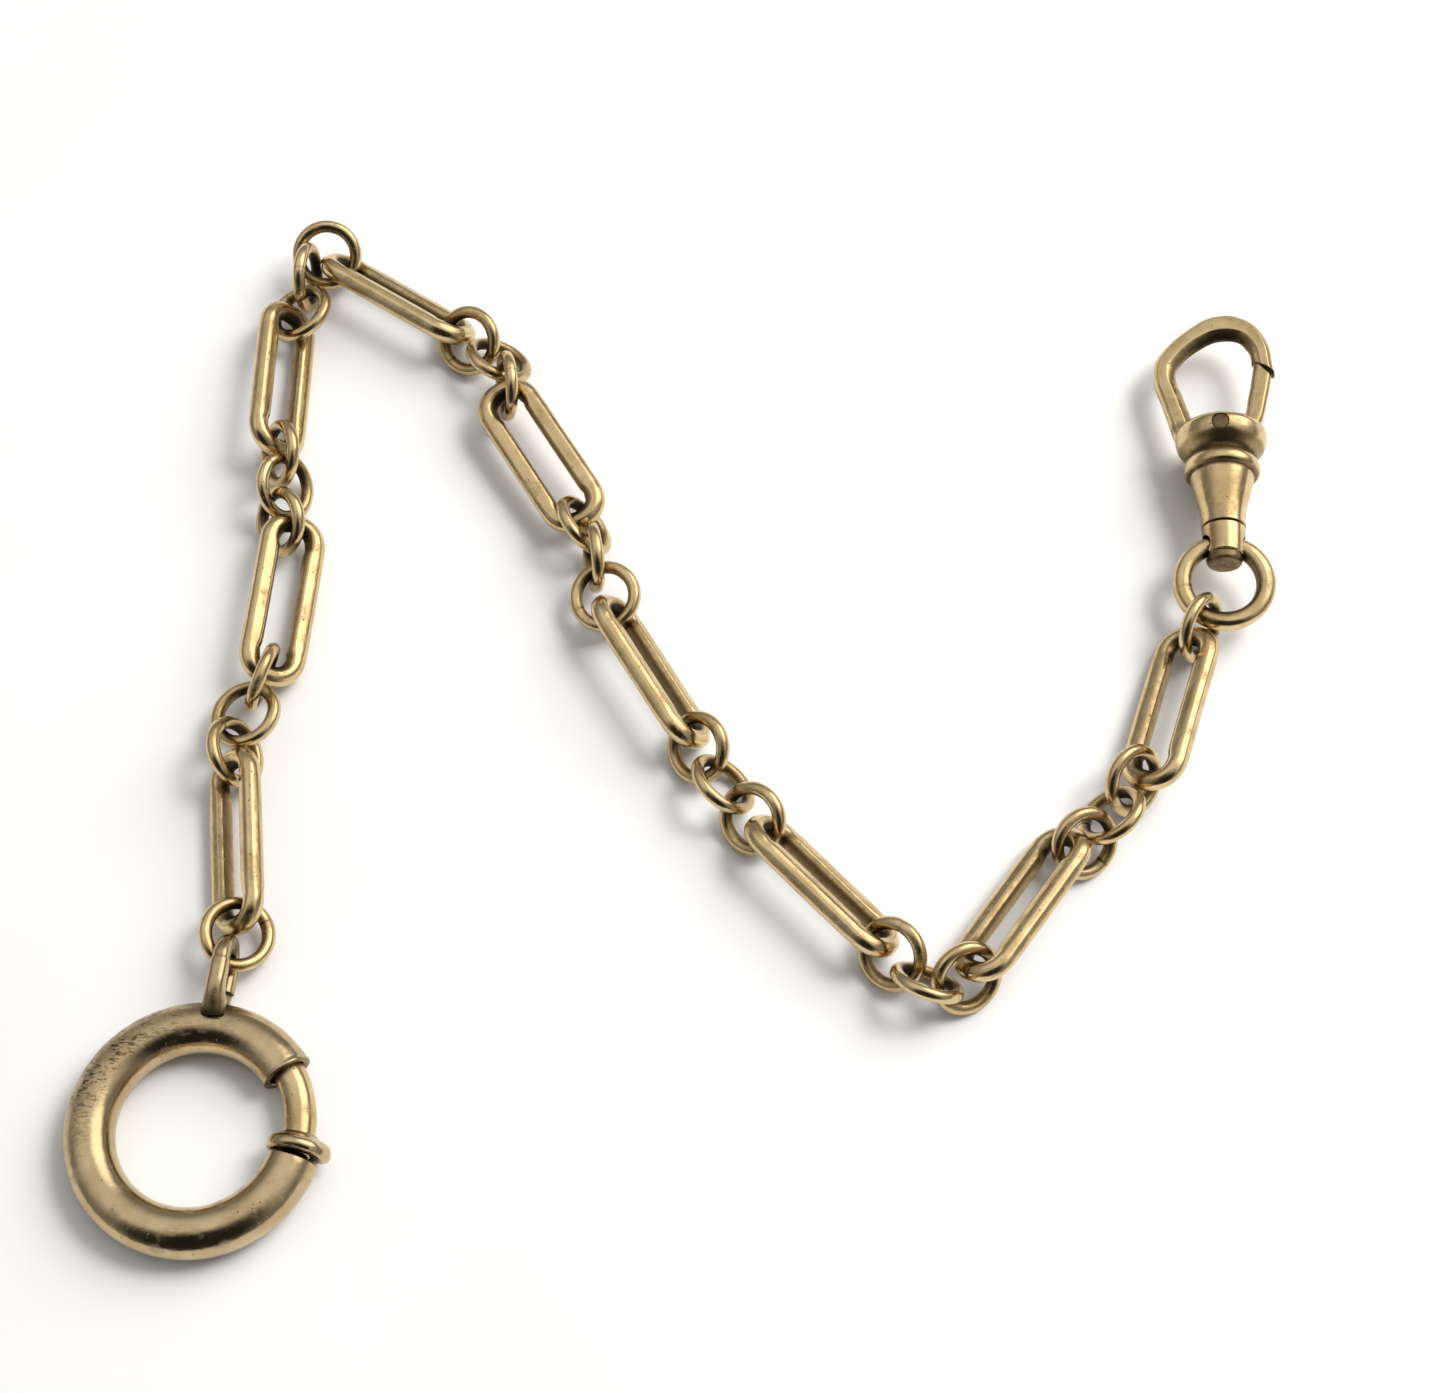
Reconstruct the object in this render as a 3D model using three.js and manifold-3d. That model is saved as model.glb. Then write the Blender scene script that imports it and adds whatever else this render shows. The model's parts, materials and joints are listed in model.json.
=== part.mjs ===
// Pocket watch chain, laid out on a table: a bolt ring, nine long links with jump rings
// between them, and a swivel. Millimetres, +Z up, the table is z = 0.
import * as THREE from "three";
import { mergeVertices } from "three/addons/utils/BufferGeometryUtils.js";
import Module from "manifold-3d";

const wasm = await Module();
wasm.setup();

// ---- driving dimensions ----
const RING_R = 2.45; // jump ring, to the middle of its wire
const RING_WIRE = 1.1;
const LINK_LONG = 15.5; // long link, over all
const LINK_WIDE = 5.6;
const LINK_WIRE = 1.75; // width of its rail
const LINK_THICK = 1.7;
const LINK_CHAMFER = 0.42;
const RIDE_HEIGHT = 2.2; // height at which the links and rings meet

const BOLT_R = 7.75; // bolt ring, to the middle of its tube
const BOLT_TUBE = 3.8;
const BOLT_BORE = 2.8;
const BOLT_X = -38.95;
const BOLT_Y = -36.1;
const BOLT_SIDES = 16; // round the tube, one of them flat on the table
const BOLT_Z = (BOLT_TUBE / 2) * Math.cos(Math.PI / BOLT_SIDES);
const MOUTH = 33; // degrees round the ring, from +X: the end the tongue slides into
const SEAT = -16.5; // the end the tongue's tip meets
const TONGUE_D = 2.4;
const TONGUE_BACK = 56;
const STOP_AT = 136;
const STOP_SWEEP = 10;
const COLLAR_AT = -10.8;
const COLLAR_D = 4.5;
const COLLAR_THICK = 1.0;
const EYE_AT = 84;
const EYE_WIRE = 1.4;
const EYE_HALF = 1.75; // half the distance between its legs
const EYE_REACH = 6.5; // from the ring's own circle to the middle of the bow
const EYE_LIFT = 0.7; // above the middle of the tube
const EYE_ROLL = 90;
const SPRING_FROM = TONGUE_BACK + 2;
const SPRING_TO = STOP_AT - 2;
const SPRING_R = 0.95;
const SPRING_WIRE = 0.32;
const SPRING_TURNS = 9;

const SWIVEL_RING_R = 3.35;
const SWIVEL_RING_WIRE = 1.6;
const SWIVEL_HEADING = 86.5;
const SWIVEL_PITCH = 0.5; // the hook end lies lower than the neck
const NECK_R = 1.75;
const NECK_LONG = 3.3;
const CROSS_HOLE = 1.9; // from the end of the neck
const BODY_ROLL = -11; // the body is turned on its stud, its left side down
const DOME_R = 3.75;
const DOME_MID = 11.75;
const BODY_TOP = 12.95;
const PIN_AT = 11.5;
const PIN_D = 1.3;
const SLOT_THICK = 2.0;
const HOOK_THICK = 1.7;

const GOLD = 0xb8996a;
const ROSE = 0xa98560;
const STEEL = 0x8c8c88;

// ---- helpers ----
const RAD = Math.PI / 180;
const group = new THREE.Group();
const hinges = {};

function solid(geometry) {
  const g = geometry.clone();
  g.deleteAttribute("normal");
  g.deleteAttribute("uv");
  const merged = mergeVertices(g, 1e-4);
  return new wasm.Manifold(
    new wasm.Mesh({
      numProp: 3,
      vertProperties: merged.attributes.position.array,
      triVerts: new Uint32Array(merged.index.array),
    }),
  );
}

function shapeOf(body) {
  const mesh = body.getMesh();
  const g = new THREE.BufferGeometry();
  g.setAttribute("position", new THREE.BufferAttribute(new Float32Array(mesh.vertProperties), 3));
  g.setIndex(new THREE.BufferAttribute(new Uint32Array(mesh.triVerts), 1));
  return g;
}

function add(name, geometry, matrix, color = GOLD, metalness = 0.95, roughness = 0.35) {
  const mesh = new THREE.Mesh(
    geometry,
    new THREE.MeshStandardMaterial({ color, metalness, roughness }),
  );
  mesh.name = name;
  if (matrix) mesh.applyMatrix4(matrix);
  group.add(mesh);
  return mesh;
}

// A piece's own axes: forward along the chain, left across it, and the normal of its plane.
// Roll lifts the left side; tilt lifts the front.
function frame(x, y, z, heading, roll = 0, tilt = 0) {
  const a = heading * RAD;
  const t = tilt * RAD;
  const r = roll * RAD;
  const forward = new THREE.Vector3(Math.cos(a) * Math.cos(t), Math.sin(a) * Math.cos(t), Math.sin(t));
  const level = new THREE.Vector3(-Math.sin(a), Math.cos(a), 0);
  const up = new THREE.Vector3().crossVectors(forward, level);
  const left = level.multiplyScalar(Math.cos(r)).addScaledVector(up, Math.sin(r));
  const normal = new THREE.Vector3().crossVectors(forward, left);
  return new THREE.Matrix4().makeBasis(forward, left, normal).setPosition(x, y, z);
}

function roundSection(diameter, sides) {
  const corners = [];
  for (let i = 0; i < sides; i++) {
    const a = (2 * Math.PI * (i + 0.5)) / sides;
    corners.push(new THREE.Vector2((diameter / 2) * Math.cos(a), (diameter / 2) * Math.sin(a)));
  }
  return new THREE.Shape(corners);
}

// A bar bent round the bolt ring's own circle, from one angle to another.
function arcBar(section, from, to, steps) {
  class Arc extends THREE.Curve {
    getPoint(t, target = new THREE.Vector3()) {
      const a = (from + (to - from) * t) * RAD;
      return target.set(BOLT_R * Math.cos(a), BOLT_R * Math.sin(a), 0);
    }
  }
  return new THREE.ExtrudeGeometry(section, {
    steps,
    bevelEnabled: false,
    extrudePath: new Arc(),
  });
}

function lathe(points, segments) {
  return new THREE.LatheGeometry(
    points.map(([r, y]) => new THREE.Vector2(r, y)),
    segments,
  );
}

// ---- long link and jump ring shapes ----
function stadium(halfLong, halfWide, steps) {
  const points = [];
  for (const side of [1, -1])
    for (let i = 0; i <= steps; i++) {
      const a = (-90 + (180 * i) / steps) * RAD;
      points.push(
        new THREE.Vector2(
          side * (halfLong - halfWide + halfWide * Math.cos(a)),
          side * halfWide * Math.sin(a),
        ),
      );
    }
  return points;
}

function longLink() {
  const c = LINK_CHAMFER;
  const shape = new THREE.Shape(stadium(LINK_LONG / 2 - c, LINK_WIDE / 2 - c, 6));
  const slotLong = LINK_LONG / 2 - LINK_WIRE + c;
  const slotWide = LINK_WIDE / 2 - LINK_WIRE + c;
  shape.holes.push(new THREE.Path(stadium(slotLong, slotWide, 5)));
  const g = new THREE.ExtrudeGeometry(shape, {
    depth: LINK_THICK - 2 * c,
    bevelThickness: c,
    bevelSize: c,
    bevelSegments: 1,
  });
  return g.translate(0, 0, -(LINK_THICK - 2 * c) / 2);
}

const ringShape = new THREE.TorusGeometry(RING_R, RING_WIRE / 2, 8, 18);
const linkShape = longLink();

// ---- the way the chain lies ----
// name, kind, heading, roll, tilt, play before the piece, how far round the piece from its own
// heading it is held at its back and front, and the height of its middle where that isn't its rest
const ROUTE = [
  ["ring_01", "ring", 84, 24, 0, 0.2, -9],
  ["link_1", "link", 96, -44, 0, 0.35, 0],
  ["ring_02", "ring", 96, 56, 0, 0.4, -3],
  ["ring_03", "ring", 73, -16, 0, 0.5, 0],
  ["ring_04", "ring", 73, -77, 0, 0.4, -15],
  ["link_2", "link", 85, 30, 0, 0.4, 0],
  ["ring_05", "ring", 116, -50, 0, 0.5, 3],
  ["ring_06", "ring", 76, 54, 0, 0.45, 3],
  ["ring_07", "ring", 105, -57, 0, 0.45, 12],
  ["link_3", "link", 90, 48, 0, 0.55, 0],
  ["ring_08", "ring", 70, -25, 0, 0.7, -3],
  ["ring_09", "ring", 83, 84, 0, 0.55, -18, 3.1],
  ["ring_10", "ring", 9, 33, 0, 0.7, 46, 3.1],
  ["link_4", "link", -33, -48, 0, 0.3, 0],
  ["ring_11", "ring", -39, 42, 0, 0.35, 6],
  ["ring_12", "ring", -42, -38, 0, 0.5, 9],
  ["ring_13", "ring", -81, 78, 0, 0.55, -6],
  ["link_5", "link", -58, 10, 0, 0.4, 0],
  ["ring_14", "ring", -65, -54, 0, 0.4, 0],
  ["ring_15", "ring", -80, 83, 0, 0.45, 12],
  ["ring_16", "ring", -67, 16, -6, 0.1, -3],
  ["link_6", "link", -59, -54, 0, 0.3, 0],
  ["ring_17", "ring", -59, 45, 0, 0.25, -3],
  ["ring_18", "ring", -56, -45, 0, 0.1, -3],
  ["ring_19", "ring", -49, 45, 0, 0.1, -3],
  ["link_7", "link", -46, -48, 0, 0.25, 0],
  ["ring_20", "ring", -48, 46, 0, 0.25, 0],
  ["ring_21", "ring", -23, -54, 0, 0.15, -26],
  ["ring_22", "ring", 31, 47, 0, 0.45, -26],
  ["link_8", "link", 54, -38, 0, 0.35, 0],
  ["ring_23", "ring", 36, 46, 0, 0.45, -15],
  ["ring_24", "ring", 53, -46, 0, 0.5, -9],
  ["ring_25", "ring", 49, 53, 0, 0.35, 9],
  ["link_9", "link", 71, -34, -4, 0.5, 0, 2.5],
  ["ring_26", "ring", 58, 66, 0, 0.35, 3, 2.8],
  ["swivel_ring", "swivel_ring", 74, -3, 6, 0.2, -12, 3.5],
];

const KINDS = {
  ring: { reach: RING_R, wire: RING_WIRE, shape: ringShape },
  link: { reach: (LINK_LONG - LINK_WIRE) / 2, wire: LINK_WIRE, shape: linkShape },
  swivel_ring: {
    reach: SWIVEL_RING_R,
    wire: SWIVEL_RING_WIRE,
    shape: new THREE.TorusGeometry(SWIVEL_RING_R, SWIVEL_RING_WIRE / 2, 10, 28),
  },
};

function restHeight(kind, roll, tilt) {
  const flat = Math.abs(Math.cos(roll * RAD) * Math.cos(tilt * RAD));
  const rise = Math.sqrt(1 - flat * flat);
  if (kind === "link") return ((LINK_WIDE - LINK_WIRE) / 2) * rise + LINK_WIRE / 2;
  return KINDS[kind].reach * rise + KINDS[kind].wire / 2;
}

// A steep piece stands on the table. A flat one hangs between its neighbours.
const heights = ROUTE.map(([, kind, , roll, tilt, , , height]) =>
  height ? height : Math.max(RIDE_HEIGHT, restHeight(kind, roll, tilt)),
);
const lifts = ROUTE.map(([, kind, , roll], i) => {
  const inner = i > 0 && i < ROUTE.length - 1;
  if (inner && kind === "ring" && Math.abs(roll) < 20)
    return Math.max(heights[i], (heights[i - 1] + heights[i + 1]) / 2);
  return heights[i];
});

// Each piece starts inside the bow of the one before it, and a hinge stands where they meet.
const lay = [];
const eyeReach = BOLT_R + EYE_REACH;
let end = new THREE.Vector3(
  BOLT_X + eyeReach * Math.cos(EYE_AT * RAD),
  BOLT_Y + eyeReach * Math.sin(EYE_AT * RAD),
  BOLT_Z + EYE_LIFT,
);
let pull = new THREE.Vector3(Math.cos(EYE_AT * RAD), Math.sin(EYE_AT * RAD), 0);
let wireBefore = EYE_WIRE;
ROUTE.forEach(([name, kind, heading, roll, tilt, play, turn], i) => {
  const { reach, wire, shape } = KINDS[kind];
  const isLink = kind === "link";
  const hangs = isLink && !ROUTE[i][7];
  const slope = hangs ? Math.atan2(lifts[i + 1] - end.z, 2 * reach) / RAD : tilt;
  const dipped = heights[i] + 0.8 * reach * Math.abs(Math.sin(slope * RAD));
  const z = hangs ? Math.max(dipped, (end.z + lifts[i + 1]) / 2) : lifts[i];
  const forward = new THREE.Vector3();
  const left = new THREE.Vector3();
  frame(0, 0, 0, heading, roll, slope).extractBasis(forward, left, new THREE.Vector3());
  if (isLink) pull = forward.clone(); // a ring rides in the middle of the link's slot
  const near = end.clone().addScaledVector(pull, -((wireBefore + wire) / 2 + play));
  hinges[name] = { at: [(end.x + near.x) / 2, (end.y + near.y) / 2, RIDE_HEIGHT], axis: [0, 0, 1] };
  const ahead = reach * Math.cos(turn * RAD);
  const aside = reach * Math.sin(turn * RAD);
  const middle = near.clone().addScaledVector(forward, ahead).addScaledVector(left, aside).setZ(z);
  add(name, shape, frame(middle.x, middle.y, z, heading, roll, slope));
  lay.push({ name, kind, x: middle.x, y: middle.y, z, heading });
  end = middle.clone().addScaledVector(forward, ahead).addScaledVector(left, -aside);
  pull = end.clone().sub(middle).setZ(0).normalize();
  wireBefore = wire;
});

// ---- bolt ring ----
const boltFrame = new THREE.Matrix4().makeTranslation(BOLT_X, BOLT_Y, BOLT_Z);
const tubeSection = roundSection(BOLT_TUBE, BOLT_SIDES);
tubeSection.holes.push(roundSection(BOLT_BORE, 12));
add("ring_tube", arcBar(tubeSection, MOUTH, 360 + SEAT, 36), boltFrame, ROSE);

const TONGUE_TIP = SEAT + 1.2;
add("tongue", arcBar(roundSection(TONGUE_D, 12), TONGUE_TIP, TONGUE_BACK, 12), boltFrame);

// The collar is wider than the tube, so it sits higher and is level with the tube underneath.
const collarLift = COLLAR_D / 2 - BOLT_Z;
const collarPlace = new THREE.Matrix4()
  .makeRotationZ(COLLAR_AT * RAD)
  .multiply(new THREE.Matrix4().makeTranslation(BOLT_R, 0, collarLift));
const collarDisc = lathe(
  [
    [0, -COLLAR_THICK / 2],
    [COLLAR_D / 2 - 0.3, -COLLAR_THICK / 2],
    [COLLAR_D / 2, 0],
    [COLLAR_D / 2 - 0.3, COLLAR_THICK / 2],
    [0, COLLAR_THICK / 2],
  ],
  20,
).applyMatrix4(collarPlace);
const collarHole = arcBar(roundSection(TONGUE_D + 0.14, 12), COLLAR_AT - 8, COLLAR_AT + 8, 4);
add("tongue_collar", shapeOf(solid(collarDisc).subtract(solid(collarHole))), boltFrame);

const stopBar = arcBar(roundSection(BOLT_BORE - 0.24, 12), STOP_AT, STOP_AT + STOP_SWEEP, 3);
add("spring_stop", stopBar, boltFrame, STEEL, 0.9, 0.5);

class Coil extends THREE.Curve {
  getPoint(t, target = new THREE.Vector3()) {
    const a = (SPRING_FROM + (SPRING_TO - SPRING_FROM) * t) * RAD;
    const w = 2 * Math.PI * SPRING_TURNS * t;
    const r = BOLT_R + SPRING_R * Math.cos(w);
    return target.set(r * Math.cos(a), r * Math.sin(a), SPRING_R * Math.sin(w));
  }
}
const spring = new THREE.ExtrudeGeometry(roundSection(SPRING_WIRE, 5), {
  steps: SPRING_TURNS * 10,
  bevelEnabled: false,
  extrudePath: new Coil(),
});
add("tongue_spring", spring, boltFrame, STEEL, 0.9, 0.4);

// The eye is a staple of round wire, its feet cut to the tube they are soldered on.
const eyePlace = frame(0, 0, EYE_LIFT, EYE_AT, EYE_ROLL);
const eyePath = new THREE.CurvePath();
const eyeBow = BOLT_R + EYE_REACH - EYE_HALF;
const staple = [
  new THREE.Vector3(BOLT_R + 0.9, EYE_HALF - 0.95, 0),
  new THREE.Vector3(BOLT_R + 1.9, EYE_HALF - 0.3, 0),
  new THREE.Vector3(BOLT_R + 3.0, EYE_HALF, 0),
];
for (let i = 0; i <= 8; i++) {
  const a = ((90 - 22.5 * i) * Math.PI) / 180;
  staple.push(new THREE.Vector3(eyeBow + EYE_HALF * Math.cos(a), EYE_HALF * Math.sin(a), 0));
}
staple.push(new THREE.Vector3(BOLT_R + 1.0, -EYE_HALF, 0));
for (let i = 1; i < staple.length; i++)
  eyePath.add(new THREE.LineCurve3(staple[i - 1], staple[i]));
const eyeBar = new THREE.ExtrudeGeometry(roundSection(EYE_WIRE, 10), {
  steps: 40,
  bevelEnabled: false,
  extrudePath: eyePath,
}).applyMatrix4(eyePlace);
const tubeRoom = new THREE.TorusGeometry(BOLT_R, BOLT_TUBE / 2 + 0.06, 20, 60);
add("ring_eye", shapeOf(solid(eyeBar).subtract(solid(tubeRoom))), boltFrame, ROSE);

// ---- swivel ----
// Its own axes: +X from the neck to the hook, +Y to the left, +Z up through the rivet.
const dip = SWIVEL_PITCH * RAD;
const swivelX = end.x - CROSS_HOLE * Math.cos(SWIVEL_HEADING * RAD) * Math.cos(dip);
const swivelY = end.y - CROSS_HOLE * Math.sin(SWIVEL_HEADING * RAD) * Math.cos(dip);
const swivelZ = end.z + CROSS_HOLE * Math.sin(dip);
const swivelFrame = frame(swivelX, swivelY, swivelZ, SWIVEL_HEADING, 0, -SWIVEL_PITCH);
const bodyFrame = frame(swivelX, swivelY, swivelZ, SWIVEL_HEADING, BODY_ROLL, -SWIVEL_PITCH);

// Turned pieces stand on the swivel's own axis.
const alongAxis = new THREE.Matrix4().makeRotationZ(-Math.PI / 2);
function turned(points, segments) {
  return lathe(points, segments).applyMatrix4(alongAxis);
}

const studBlank = turned(
  [
    [0, 0],
    [1.3, 0],
    [1.47, 0.2],
    [1.47, 0.75],
    [1.64, 0.95],
    [NECK_R, NECK_LONG],
    [0.85, NECK_LONG],
    [0.85, 7.5],
    [1.6, 7.5],
    [1.6, 8.3],
    [0, 8.3],
  ],
  24,
);
let stud = solid(studBlank);
for (const swing of [-30, -15, 0, 15, 30]) {
  const room = new THREE.TorusGeometry(SWIVEL_RING_R, SWIVEL_RING_WIRE / 2 + 0.16, 10, 30)
    .translate(-SWIVEL_RING_R, 0, 0)
    .rotateY((swing - 5) * RAD)
    .translate(CROSS_HOLE, 0, 0);
  stud = stud.subtract(solid(room));
}
add("swivel_stud", shapeOf(stud), swivelFrame);

const bodyBlank = turned(
  [
    [0, 8.6],
    [1.9, 8.6],
    [1.9, 7.2],
    [1.05, 7.2],
    [1.05, 3.45],
    [1.8, 3.45],
    [1.8, 4.4],
    [1.87, 5.05],
    [2.15, 5.95],
    [2.46, 6.9],
    [2.85, 7.8],
    [3.1, 8.6],
    [3.1, 9.2],
    [2.85, 9.75],
    [2.75, 10.05],
    [2.95, 10.3],
    [3.5, 10.9],
    [DOME_R, DOME_MID],
    [3.65, 12.2],
    [3.3, 12.6],
    [2.7, 12.85],
    [0, BODY_TOP],
  ],
  32,
);
const slotFloor = PIN_AT - 1.15;
const slot = new THREE.BoxGeometry(4.6, 9, SLOT_THICK).translate(slotFloor + 2.3, 0, 0);
const pinHole = new THREE.CylinderGeometry(PIN_D / 2 + 0.06, PIN_D / 2 + 0.06, 9, 14)
  .rotateX(Math.PI / 2)
  .translate(PIN_AT, 0, 0);
const body = solid(bodyBlank).subtract(solid(slot)).subtract(solid(pinHole));
add("swivel_body", shapeOf(body), bodyFrame);

const pin = new THREE.CylinderGeometry(PIN_D / 2, PIN_D / 2, 6.9, 14)
  .rotateX(Math.PI / 2)
  .translate(PIN_AT, 0, 0);
add("gate_pin", pin, bodyFrame, STEEL, 0.9, 0.45);

// Flat pieces are drawn in (across to the right, along the axis) and lie in the swivel's plane.
const inPlane = new THREE.Matrix4().set(0, 1, 0, 0, -1, 0, 0, 0, 0, 0, 1, 0, 0, 0, 0, 1);
function plate(outline, thick, chamfer) {
  return new THREE.ExtrudeGeometry(new THREE.Shape(outline), {
    depth: thick - 2 * chamfer,
    bevelThickness: chamfer,
    bevelSize: chamfer,
    bevelOffset: -chamfer,
    bevelSegments: 1,
  })
    .translate(0, 0, -(thick - 2 * chamfer) / 2)
    .applyMatrix4(inPlane);
}
const at = (x, y) => new THREE.Vector2(x, y);

// The hook: the middle line of its bar, then half its width there.
const HOOK_LINE = [
  [-2.7, 11.4, 1.0],
  [-3.2, 13.4, 1.05],
  [-3.85, 15.6, 1.0],
  [-4.5, 18.0, 0.98],
  [-4.05, 20.2, 0.98],
  [-2.3, 22.0, 1.02],
  [0.25, 22.75, 1.25],
  [2.3, 22.15, 0.95],
  [3.3, 20.6, 0.85],
  [3.6, 18.75, 0.8],
];
const hookCurve = new THREE.CatmullRomCurve3(HOOK_LINE.map(([x, y, w]) => new THREE.Vector3(x, y, w)));
const hookOutside = [];
const hookInside = [];
const HOOK_STEPS = 26;
for (let i = 0; i <= HOOK_STEPS; i++) {
  const p = hookCurve.getPoint(i / HOOK_STEPS);
  const d = hookCurve.getTangent(i / HOOK_STEPS);
  const n = at(-d.y, d.x).normalize().multiplyScalar(p.z);
  hookOutside.push(at(p.x + n.x, p.y + n.y));
  hookInside.push(at(p.x - n.x, p.y - n.y));
}
add("hook", plate([...hookOutside, ...hookInside.reverse()], HOOK_THICK, 0.4), bodyFrame);

// The gate turns on the pin, and its tip closes on the end of the hook.
const GATE_LINE = [
  [-0.2, 11.5, 0.95],
  [1.5, 12.05, 0.9],
  [2.5, 13.2, 0.78],
  [3.12, 15.6, 0.78],
  [3.58, 18.0, 0.8],
];
const gateCurve = new THREE.CatmullRomCurve3(GATE_LINE.map(([x, y, w]) => new THREE.Vector3(x, y, w)));
const gateOutside = [];
const gateInside = [];
for (let i = 0; i <= 12; i++) {
  const p = gateCurve.getPoint(i / 12);
  const d = gateCurve.getTangent(i / 12);
  const n = at(d.y, -d.x).normalize().multiplyScalar(p.z);
  gateOutside.push(at(p.x + n.x, p.y + n.y));
  gateInside.push(at(p.x - n.x, p.y - n.y));
}
const arm = plate([...gateOutside, ...gateInside.reverse()], HOOK_THICK, 0.3);
const boss = new THREE.CylinderGeometry(1.05, 1.05, HOOK_THICK - 0.1, 16)
  .rotateX(Math.PI / 2)
  .translate(PIN_AT, 0, 0);
const eyelet = new THREE.CylinderGeometry(PIN_D / 2 + 0.1, PIN_D / 2 + 0.1, 9, 14)
  .rotateX(Math.PI / 2)
  .translate(PIN_AT, 0, 0);
add("gate", shapeOf(solid(arm).add(solid(boss)).subtract(solid(eyelet))), bodyFrame);

// A leaf spring stands in the slot between the hook's foot and the gate.
const leaf = new THREE.BoxGeometry(2.0, 0.2, 1.4).translate(11.7, 1.4, 0);
add("gate_spring", leaf, bodyFrame, STEEL, 0.9, 0.4);

// ---- the origin goes to the middle of the whole part, on the table ----
const box = new THREE.Box3().setFromObject(group, true);
const shift = box.getCenter(new THREE.Vector3()).setZ(box.min.z).negate();
for (const mesh of group.children) mesh.position.add(shift);

export { lay, hinges, shift, bodyFrame };
export default group;
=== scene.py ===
"""Looks of the pocket watch chain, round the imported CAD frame. Metres in the scene, mm in the shapes."""

import json
import math

import bmesh
import bpy
import numpy as np
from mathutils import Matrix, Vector


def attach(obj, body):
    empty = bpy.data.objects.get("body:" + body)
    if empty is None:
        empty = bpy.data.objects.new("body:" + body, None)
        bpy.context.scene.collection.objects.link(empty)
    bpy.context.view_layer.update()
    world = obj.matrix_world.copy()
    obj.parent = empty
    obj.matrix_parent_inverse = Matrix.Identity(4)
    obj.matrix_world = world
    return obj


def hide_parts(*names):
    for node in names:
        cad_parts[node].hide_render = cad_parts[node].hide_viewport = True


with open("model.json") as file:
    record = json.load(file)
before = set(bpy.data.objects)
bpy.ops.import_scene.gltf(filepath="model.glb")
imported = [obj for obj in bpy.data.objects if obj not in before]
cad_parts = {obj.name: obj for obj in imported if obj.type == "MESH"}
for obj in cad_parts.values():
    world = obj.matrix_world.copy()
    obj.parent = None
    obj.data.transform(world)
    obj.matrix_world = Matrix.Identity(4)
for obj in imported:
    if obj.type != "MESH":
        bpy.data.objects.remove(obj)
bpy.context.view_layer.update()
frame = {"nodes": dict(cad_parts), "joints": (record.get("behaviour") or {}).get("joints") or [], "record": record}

MM = 0.001
rng = np.random.default_rng(11)
joints = {j["name"]: j for j in frame["joints"]}
body_of = {n: b for b, ns in frame["record"]["behaviour"]["bodies"].items() for n in ns}

# ---- sizes in mm, and angles in degrees round the bolt ring, that the CAD has too ----
RING_R, RING_WIRE = 2.45, 1.1
LINK_STRAIGHT, LINK_BEND = 4.95, 1.925  # half the straight rail, and the bow's middle radius
LINK_HALF_WIDE = 0.875
BOLT_R, TUBE_R, BORE_R = 7.75, 1.9, 1.4
MOUTH, SEAT = 33.0, 343.5  # the tube's two ends
TONGUE_R, TONGUE_FROM, TONGUE_TO = 1.2, -15.3, 56.0
COLLAR_AT, COLLAR_R, COLLAR_LIFT = -10.8, 2.25, 0.386
EYE_AT, EYE_LIFT, EYE_HALF, EYE_BOW, EYE_R = 84.0, 0.7, 1.75, 12.5, 0.7
SWIVEL_RING_R, SWIVEL_WIRE_R = 3.35, 0.8
CROSS_HOLE, PIN_AT = 1.9, 11.5

# ---- sizes of the fine shapes ----
RING_WORN = 0.975  # the share of the jump rings' wire that wear has left
# a link's bar: half width, half height, inner and outer chamfer, corner radius, crown
LINK_RAIL = (0.82, 0.79, 0.33, 0.4, 0.26, 0.085)
LINK_BOW = (0.82, 0.82, 0.6, 0.5, 0.4, 0.06)
LINK_ROWS = 34  # rows of points along each rail and round each bow
BOW_POWER = 0.88  # below 1 the bows are a little square, like the real ones
BOW_FADE = 0.4  # the way over which the rail's section turns into the bow's
CORNER_STEPS = 3
SEAM_WIDE, TOUCH_WIDE = 0.09, 0.5  # a solder seam in mm, and where a neighbour rubs a ring, in radians
LINK_TOUCH_IN, LINK_TOUCH_WIDE = 0.6, 1.15  # a neighbour rubs a link this far inside its bow's middle line
FULL_TURN = 6.28  # radians, nearly
TUBE_SIDES, TONGUE_SIDES, COLLAR_STEPS, EYE_SIDES, PIN_SIDES = 44, 36, 72, 28, 40
RUBBED_AT, RUBBED_WIDE = 142, 38  # the scuffed stretch of the bolt ring's tube
OUTER_TOP = 0.5  # radians round the tube, from its outside towards its top, where it is rubbed most
RING_ROOM = 0.14  # clearance of the swivel ring in the stud's cross hole
RING_SWINGS, RING_REST = (-30, -15, 0, 15, 30), -5  # the ways the ring can stand in that hole, in degrees
# places along the swivel, from the end of its stud
STUD_STEP, STUD_TOP, STUD_END = 0.76, 0.9, 3.32
CONE_EDGE, BEAD_BACK, BEAD_TOP, BEAD_SIDE, BEAD_FRONT = 3.46, 8.2, 8.9, 9.3, 9.95
SLOT_FROM, DOME_BACK, DOME_TOP, PLATE_FROM = 10.3, 10.6, 11.9, 12.9
SLOT_HALF, SLOT_DARK_R = 1.02, 2.95  # the slot's half width, and how far out its walls get painted shade
PIN_ROOM, EYELET_R = 0.72, 0.75  # the rivet's hole in the dome and in the gate
PLATE_HALF = 0.85  # half the thickness of the hook and the gate


# ---------------------------------------------------------------- materials
def tree_of(name):
    m = bpy.data.materials.new(name)
    m.use_nodes = True
    t = m.node_tree
    return m, t, t.nodes["Principled BSDF"]


def link(t, a, b):
    t.links.new(a, b)


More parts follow.
